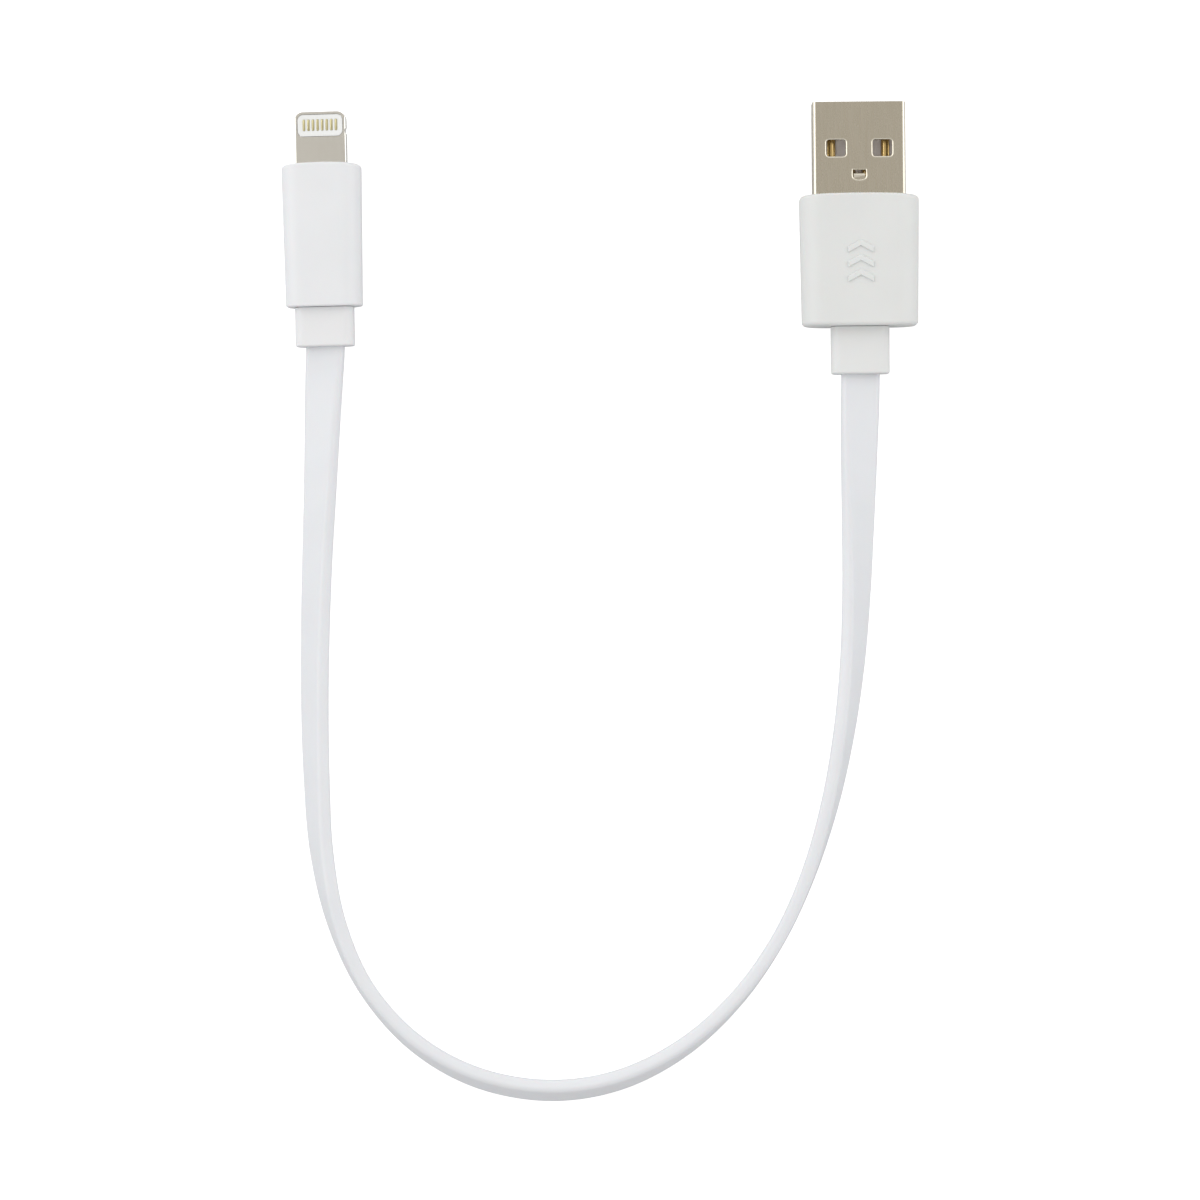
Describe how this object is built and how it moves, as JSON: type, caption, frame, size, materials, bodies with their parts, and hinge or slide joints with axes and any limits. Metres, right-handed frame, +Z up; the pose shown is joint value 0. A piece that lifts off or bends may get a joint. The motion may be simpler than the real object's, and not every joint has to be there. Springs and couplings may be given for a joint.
{
  "type": "charging cable",
  "caption": "Short flat white charging cable in a U, with a type A plug with a windowed steel shell on one end and a slim plug with a contact tab on the other.",
  "frame": {"origin": "on the surface that the cable lies on, under the middle of the box round the two plugs", "axes": "+Z up from that surface; +Y roughly the way both plugs point; +X from the eight-pin plug to the type A plug"},
  "size_m": [0.0828, 0.1299, 0.0078],
  "materials": {
    "shell": "satin",
    "tab": "satin",
    "gold": "plated gold, polished",
    "housing": "satin white",
    "collar": "satin white",
    "jacket": "matte white, slightly blue",
    "insulator": "satin",
    "mould": "matte",
    "board": "solder mask",
    "chip": "matte black",
    "ceramic": "matte",
    "wire_red": "satin",
    "wire_white": "satin",
    "wire_green": "satin",
    "wire_black": "satin"
  },
  "bodies": {
    "root": {"type_a_shell": "shell", "type_a_tongue": "insulator", "type_a_contact_1": "gold", "type_a_contact_2": "gold", "type_a_contact_3": "gold", "type_a_contact_4": "gold", "type_a_inner_mould": "mould", "type_a_housing": "housing", "type_a_collar": "collar", "eight_pin_tab": "tab", "eight_pin_board": "board", "eight_pin_upper_plate": "insulator", "eight_pin_lower_plate": "insulator", "eight_pin_upper_contact_1": "gold", "eight_pin_upper_contact_2": "gold", "eight_pin_upper_contact_3": "gold", "eight_pin_upper_contact_4": "gold", "eight_pin_upper_contact_5": "gold", "eight_pin_upper_contact_6": "gold", "eight_pin_upper_contact_7": "gold", "eight_pin_upper_contact_8": "gold", "eight_pin_lower_contact_1": "gold", "eight_pin_lower_contact_2": "gold", "eight_pin_lower_contact_3": "gold", "eight_pin_lower_contact_4": "gold", "eight_pin_lower_contact_5": "gold", "eight_pin_lower_contact_6": "gold", "eight_pin_lower_contact_7": "gold", "eight_pin_lower_contact_8": "gold", "eight_pin_chip": "chip", "eight_pin_capacitor": "ceramic", "eight_pin_inner_mould": "mould", "eight_pin_housing": "housing", "eight_pin_collar": "collar", "cable_jacket": "jacket", "wire_red": "wire_red", "wire_white": "wire_white", "wire_green": "wire_green", "wire_black": "wire_black"}
  },
  "joints": []
}
